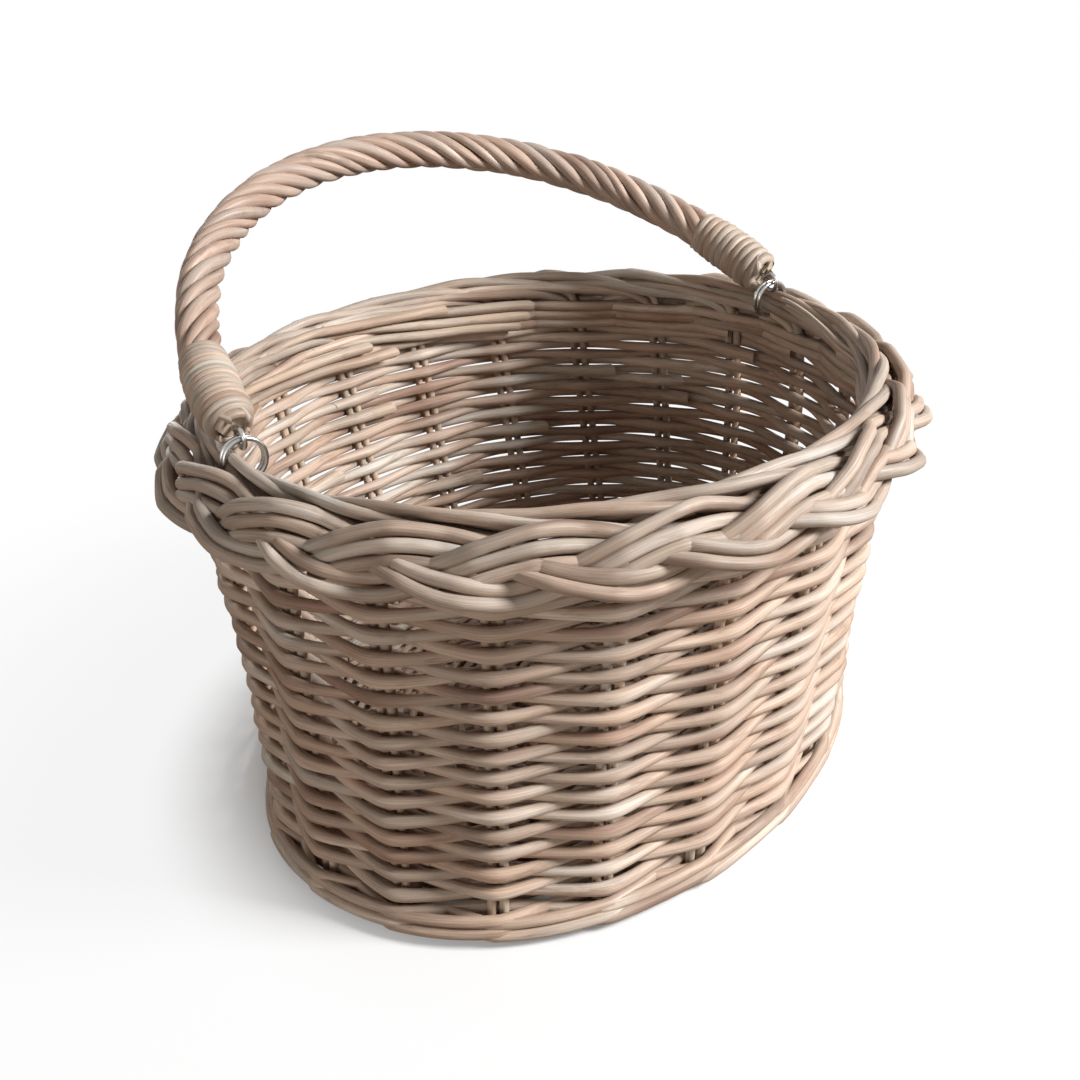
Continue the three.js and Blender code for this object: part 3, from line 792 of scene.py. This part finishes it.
def plait():
    """One strand goes round three times. Two rods run all the way, a third only through the upper arcs."""
    lines = []
    for row, first, last in PLAIT_ROWS:
        for repeat in range(STAKES):
            spread = rng.uniform(-PLAIT_START_SPREAD, PLAIT_START_SPREAD)
            low = math.radians(first + 360 * repeat + spread)
            high = math.radians(last + 360 * repeat)
            wave = np.linspace(low, high, int((high - low) * PLAIT_WAVE_LENGTH / PLAIT_STEP))
            turn = (wave - PLAIT_START) * PLAIT_STRANDS / STAKES
            count = len(turn)
            points = plait_point(turn, row + plait_wander(count, PLAIT_ROW_WANDER))
            points = points + np.stack([plait_wander(count, PLAIT_WANDER) for _ in range(3)], axis=-1)
            lines.append((points, 1 + plait_wander(count, PLAIT_THICKNESS_WANDER)))
    nodes = [f"border_strand_{i}" for i in range(1, PLAIT_STRANDS + 1)]
    rods("plaited_border", lines, PLAIT_ROD, BORDER_WICKER, sides=12, unevenness=0.07, replaces=nodes)


# Base

def spoke_start(end):
    """Where the stick that ends there leaves the cross and heads for its own place at the wall."""
    flat = end * (1, 1, 0)
    return flat / np.linalg.norm(flat) * SPOKES_FROM + (0, 0, STICK_HEIGHT)


def base_sticks():
    lines = []
    count = 120
    half = STAKES // 2
    per_layer = half // 2
    for first, layer in ((0, -STICK_LAYER), (per_layer, STICK_LAYER)):
        middle = math.radians(stake_angle(first + (per_layer - 1) / 2))
        along = np.array([math.cos(middle), math.sin(middle), 0]) * CROSS_REACH
        across = np.array([-math.sin(middle), math.cos(middle), 0])
        lift = np.array([0, 0, STICK_HEIGHT + layer])
        for j in range(per_layer):
            aside = across * (j - (per_layer - 1) / 2) * STICK_SPACING
            near = wall_point(stake_angle(first + j), STICK_HEIGHT, -BASE_EDGE)
            far = wall_point(stake_angle(first + half + per_layer - 1 - j), STICK_HEIGHT, -BASE_EDGE)
            near_spoke = spoke_start(near)
            far_spoke = spoke_start(far)
            knots = [near, (near + 2 * near_spoke) / 3, near_spoke, along + aside + lift,
                     aside + lift - along, far_spoke, (far + 2 * far_spoke) / 3, far]
            lines.append(smooth(knots, count))
    nodes = [f"base_stick_{i:02d}" for i in range(1, half + 1)]
    rods("base_sticks", lines, STICK_RADIUS, STAKE_WICKER, replaces=nodes)


def base_weave():
    """Two weavers run round from the cross to the foot, over one spoke and under the next."""
    lines = []
    growth = 2 * BASE_ROW_PITCH / BASE_REACH
    whole = (BASE_WEAVE_TO - BASE_WEAVE_FROM) / growth * STAKES
    for weaver in (0, 1):
        passed = np.linspace(0, whole, int(whole * BASE_POINTS_PER_STAKE) + 1)
        share = BASE_WEAVE_FROM + growth * passed / STAKES
        angle = stake_angle(passed + weaver * STAKES / 2)
        edge = wall_point(angle, STICK_HEIGHT, -BASE_EDGE - BASE_INSET)
        swing = np.cos(np.pi * (passed + weaver * (STAKES / 2 + 1)))
        height = STICK_HEIGHT + BASE_SWING * swing
        lines.append(np.stack([edge[:, 0] * share, edge[:, 1] * share, height], axis=-1))
    rods("base_weave", lines, BASE_ROD, WALL_WICKER, sides=8,
         replaces=("base_weave_lower", "base_weave_upper"))


# Handle: X from ring to ring and Z up through the arch, then leant over and turned to its place

def rest_lean():
    """The angle from upright at which the bound ends meet the rim."""
    inset = RIM_RADIUS - PIVOT_RADIUS
    depth = math.sqrt(BINDING_OUTSIDE ** 2 - inset ** 2)
    drop = -(PIVOT_RISE - REST_GAP) / math.hypot(REST_REACH, depth)
    return math.acos(drop) - math.atan2(depth, REST_REACH)


TO_PIVOT = Matrix.Translation((0, 0, PIVOT_HEIGHT)) @ Matrix.Rotation(math.radians(HANDLE_ANGLE), 4, "Z")
TO_HANDLE = TO_PIVOT @ Matrix.Rotation(-rest_lean(), 4, "X")


def placed(points, matrix):
    matrix = np.array(matrix)
    return points @ matrix[:3, :3].T + matrix[:3, 3]


def arch_table():
    """Lengths along the arch from its right end, and the angles that belong to them."""
    count = 2001
    phi = np.linspace(0, math.pi, count)
    x = PIVOT_RADIUS * np.cos(phi)
    z = ARCH_HEIGHT * np.sin(phi)
    length = np.concatenate([[0], np.cumsum(np.hypot(np.diff(x), np.diff(z)))])
    return length, phi


ARCH_LENGTHS, ARCH_ANGLES = arch_table()
ARCH_LENGTH = ARCH_LENGTHS[-1]


def arch_frame(distance):
    """Centre and outward direction of the arch at a distance from its right end."""
    phi = np.interp(distance, ARCH_LENGTHS, ARCH_ANGLES)
    centre = np.stack([PIVOT_RADIUS * np.cos(phi), 0 * phi, ARCH_HEIGHT * np.sin(phi)], axis=-1)
    out = np.stack([ARCH_HEIGHT * np.cos(phi), 0 * phi, PIVOT_RADIUS * np.sin(phi)], axis=-1)
    out /= np.linalg.norm(out, axis=-1, keepdims=True)
    # Beyond the ends the arch runs straight on
    beyond = np.where(distance < 0, distance, np.where(distance > ARCH_LENGTH, ARCH_LENGTH - distance, 0))
    centre[:, 2] += beyond
    return centre, out


def wound(distance, turn, radius):
    """Points on the handle: distance along the arch, turn in radians round it, distance from its middle."""
    centre, out = arch_frame(distance)
    side = np.array([0, 1.0, 0])
    points = centre + out * (radius * np.cos(turn))[:, None] + side * (radius * np.sin(turn))[:, None]
    return placed(points, TO_HANDLE)


def handle_rope():
    """Thick and thin rods twisted round a core, drawn together under the bindings."""
    lines = []
    count = 420
    distance = np.linspace(ROPE_START, ARCH_LENGTH - ROPE_START, count)
    to_end = np.minimum(distance, ARCH_LENGTH - distance)
    free = np.clip(to_end / ROPE_SQUEEZE_REACH - ROPE_SQUEEZE_FULL, 0, 1)
    for place, radius in ROPE_RODS:
        turn = 2 * math.pi * (distance / ROPE_PITCH + place / 360)
        turn = turn + wander(count, ROPE_STEP, ROPE_TURN_WANDER, ROPE_TURN_REACH)
        middle = ROPE_OUTSIDE - radius * MM - ROPE_SQUEEZE * (1 - free)
        middle = middle + wander(count, ROPE_STEP, ROPE_WANDER, ROPE_WANDER_REACH)
        lines.append((wound(distance, turn, middle), np.full(count, radius)))
    count = 120
    distance = np.linspace(CORE_START, ARCH_LENGTH - CORE_START, count)
    middle = placed(arch_frame(distance)[0], TO_HANDLE)
    lines.append((middle, np.full(count, (CORE_RADIUS + CORE_FILL) / MM)))
    rods("handle_rope_rods", lines, 1 * MM, ROPE_WICKER, sides=14, body="handle",
         replaces=("handle_rope", "handle_core"))


def binding(side, from_right, cane, pitch):
    """Cane wound over the end of the rope. It closes in on the core, where its frayed ends stick out."""
    count = int(BINDING_LENGTH / pitch * CANE_POINTS_PER_TURN)
    turns = np.arange(count) / CANE_POINTS_PER_TURN
    from_end = CANE_START + pitch * turns
    opened = np.clip((from_end - CANE_START) / CANE_CLOSES_OVER, 0, 1)
    closed_in = (CANE_OUTSIDE - CORE_RADIUS - 2 * cane) * (1 - opened) ** 2
    to_rope = BINDING_LENGTH + CANE_START - from_end
    drawn_in = CANE_DRAWN_IN * np.clip(1 - to_rope / CANE_DRAWN_OVER, 0, 1) ** CANE_DRAWN_POWER
    radius = CANE_OUTSIDE - cane - closed_in - drawn_in
    radius = radius + wander(count, CANE_STEP, CANE_WANDER, CANE_WANDER_REACH)

    def from_ring(length):
        return length if from_right else ARCH_LENGTH - length

    lines = [wound(from_ring(from_end), 2 * math.pi * turns * (1 if from_right else -1), radius)]
    share = np.linspace(0, 1, 8)
    for place, length, start, spread in FRAYED_ENDS:
        radius = (spread - FRAYED_CURL * (1 - share) ** 2) * MM
        turn = np.radians(place + FRAYED_TURN * share)
        points = wound(from_ring((start + length * share) * MM), turn, radius)
        lines.append((points, np.full(len(share), FRAYED_THICKNESS)))
    rods(f"handle_binding_{side}_cane", lines, cane, CANE, unevenness=0.16, lump=12 * MM, slant=1.0,
         body="handle", replaces=(f"handle_binding_{side}",))


def ring(side, end):
    """Wire wound twice round the rods of the rim, from its lowest place to its lowest place."""
    steps = 40
    turns = np.arange(2 * steps + 1) / steps
    turn = 2 * math.pi * turns - math.pi / 2
    bottom = WALE_TOP + RING_CLEARANCE + WIRE - PIVOT_HEIGHT
    radius = -bottom / 2
    x = end * PIVOT_RADIUS + radius * np.cos(turn)
    y = RING_PITCH * (turns - 1)
    z = bottom / 2 + radius * np.sin(turn)
    points = placed(np.stack([x, y, z], axis=-1), TO_PIVOT)
    rods(f"handle_ring_{side}_wire", [points], WIRE, STEEL, sides=12, unevenness=0.0, slant=0.1,
         replaces=(f"handle_ring_{side}",))


def eye(side, end):
    """A wire comes down out of the core, goes once round the ring and back up to itself."""
    loop_count = 48
    shank_count = 12
    turn = np.radians(np.linspace(90, 90 + EYE_TURN, loop_count))
    loop = np.stack([0 * turn, EYE_RADIUS * np.cos(turn), EYE_RADIUS * np.sin(turn)], axis=-1)
    rise = np.linspace(EYE_RADIUS + SHANK_LENGTH, EYE_RADIUS + SHANK_GAP, shank_count)
    shank = np.stack([0 * rise, 0 * rise, rise], axis=-1)
    points = placed(np.vstack([shank, loop]) + (end * PIVOT_RADIUS, 0, 0), TO_HANDLE)
    rods(f"handle_eye_{side}_wire", [points], WIRE, STEEL, sides=12, unevenness=0.0, slant=0.1,
         body="handle", replaces=(f"handle_eye_{side}",))


side_weavers()
wale("foot_wale", *FOOT_WALE)
wale("top_wale", *TOP_WALE)
weaver_ends()
uprights()
bent_over_tops()
rim_ends()
ring_canes()
plait()
base_sticks()
base_weave()
handle_rope()
binding("left", False, *LEFT_CANE)
binding("right", True, *RIGHT_CANE)
for side_name, side_end in (("left", -1), ("right", 1)):
    ring(side_name, side_end)
    eye(side_name, side_end)


# Floor, light and camera

FLOOR_HALF = 3.0
FLOOR_SEEN = (0.86, 0.86, 0.86, 1)
FLOOR_BOUNCE = (0.24, 0.2, 0.17, 1)
SOFT_LIGHT = (1.0, 0.95, 0.9, 1)
SOFT_STRENGTH = 0.06

# The floor turns white away from the basket: from and to which distance, and the share of white it gains
WHITENING = ((0.115, 0.19, 0.88), (0.19, 0.45, 0.12))

# Lamps: name, place, aim, size, power and colour
LAMPS = (("key", (1.39, -0.4, 1.02), (0, 0, 0.12), 0.5, 54, (1.0, 1.0, 1.0)),
         ("front", (-0.85, -1.3, 0.24), (0, 0, 0.08), 0.8, 9, (1.0, 0.93, 0.86)),
         ("back", (-0.7, 1.35, 0.32), (0, 0, 0.08), 0.5, 5, (1.0, 0.95, 0.9)))

# Camera: angles in degrees, where it looks and from how far
CAMERA_ELEVATION = 27.5
CAMERA_ROLL = -4.09
CAMERA_VIEW = 46.5
CAMERA_AIM = (-4.77 * MM, 0, 92.28 * MM)
CAMERA_DISTANCE = 0.535
CAMERA_NEAREST = 0.01
SENSOR_WIDTH = 36


def pale_floor():
    """A floor that keeps the basket's shadow, is white further out, and throws little light back."""
    mesh = bpy.data.meshes.new("floor")
    corners = [(x * FLOOR_HALF, y * FLOOR_HALF, 0) for x, y in ((-1, -1), (1, -1), (1, 1), (-1, 1))]
    mesh.from_pydata(corners, [], [(0, 1, 2, 3)])
    floor = bpy.data.objects.new("floor", mesh)
    bpy.context.scene.collection.objects.link(floor)
    material, tree, shader = new_material("pale_floor")
    shader.inputs["Roughness"].default_value = 0.9
    shader.inputs["Specular IOR Level"].default_value = 0.1
    seen = tree.add("ShaderNodeLightPath").outputs["Is Camera Ray"]
    place = tree.add("ShaderNodeTexCoord").outputs["Object"]
    distance = tree.add("ShaderNodeVectorMath", {0: place}, operation="LENGTH").outputs["Value"]
    near, far = (tree.ranged(distance, (begin, end), (0.0, gain)) for begin, end, gain in WHITENING)
    white_share = tree.calc("MULTIPLY", seen, tree.calc("ADD", near, far))
    white = tree.add("ShaderNodeEmission", {"Color": (1, 1, 1, 1)}).outputs[0]
    tree.feed(shader.inputs["Base Color"], tree.mix(seen, FLOOR_BOUNCE, FLOOR_SEEN))
    both = tree.add("ShaderNodeMixShader", {0: white_share, 1: shader.outputs[0], 2: white}).outputs[0]
    tree.feed(tree.nodes["Material Output"].inputs["Surface"], both)
    mesh.materials.append(material)


def white_world():
    """White where it is seen, also in metal and through gaps, and a faint soft light for all else."""
    world = bpy.data.worlds.new("studio")
    bpy.context.scene.world = world
    world.use_nodes = True
    tree = Wiring(world.node_tree)
    soft = tree.nodes["Background"]
    soft.inputs["Color"].default_value = SOFT_LIGHT
    soft.inputs["Strength"].default_value = SOFT_STRENGTH
    white = tree.add("ShaderNodeBackground", {"Color": (1, 1, 1, 1)}).outputs[0]
    ray = tree.add("ShaderNodeLightPath").outputs
    seen = tree.calc("MAXIMUM", ray["Is Camera Ray"], ray["Is Glossy Ray"])
    seen = tree.calc("MAXIMUM", seen, ray["Is Transmission Ray"])
    mixed = tree.add("ShaderNodeMixShader", {0: seen, 1: soft.outputs[0], 2: white}).outputs[0]
    tree.feed(tree.nodes["World Output"].inputs["Surface"], mixed)


def lamp(name, place, aim, size, power, colour):
    light = bpy.data.lights.new(name, "AREA")
    light.shape = "SQUARE"
    light.size = size
    light.energy = power
    light.color = colour
    holder = bpy.data.objects.new(name, light)
    holder.location = place
    holder.rotation_euler = (Vector(aim) - Vector(place)).to_track_quat("-Z", "Y").to_euler()
    bpy.context.scene.collection.objects.link(holder)


def photograph_camera():
    elevation = math.radians(CAMERA_ELEVATION)
    roll = math.radians(CAMERA_ROLL)
    forward = Vector((0, math.cos(elevation), -math.sin(elevation)))
    right = Vector((1, 0, 0))
    up = right.cross(forward)
    turned_right = right * math.cos(roll) + up * math.sin(roll)
    turned_up = up * math.cos(roll) - right * math.sin(roll)
    camera = bpy.data.cameras.new("photograph")
    camera.sensor_fit = "HORIZONTAL"
    camera.sensor_width = SENSOR_WIDTH
    camera.lens = SENSOR_WIDTH / 2 / math.tan(math.radians(CAMERA_VIEW) / 2)
    camera.clip_start = CAMERA_NEAREST
    holder = bpy.data.objects.new("photograph", camera)
    place = Vector(CAMERA_AIM) - forward * CAMERA_DISTANCE
    axes = Matrix((turned_right, turned_up, -forward)).transposed().to_4x4()
    holder.matrix_world = Matrix.Translation(place) @ axes
    bpy.context.scene.collection.objects.link(holder)
    bpy.context.scene.camera = holder


pale_floor()
white_world()
for settings in LAMPS:
    lamp(*settings)
photograph_camera()
bpy.context.scene.view_settings.view_transform = "Standard"
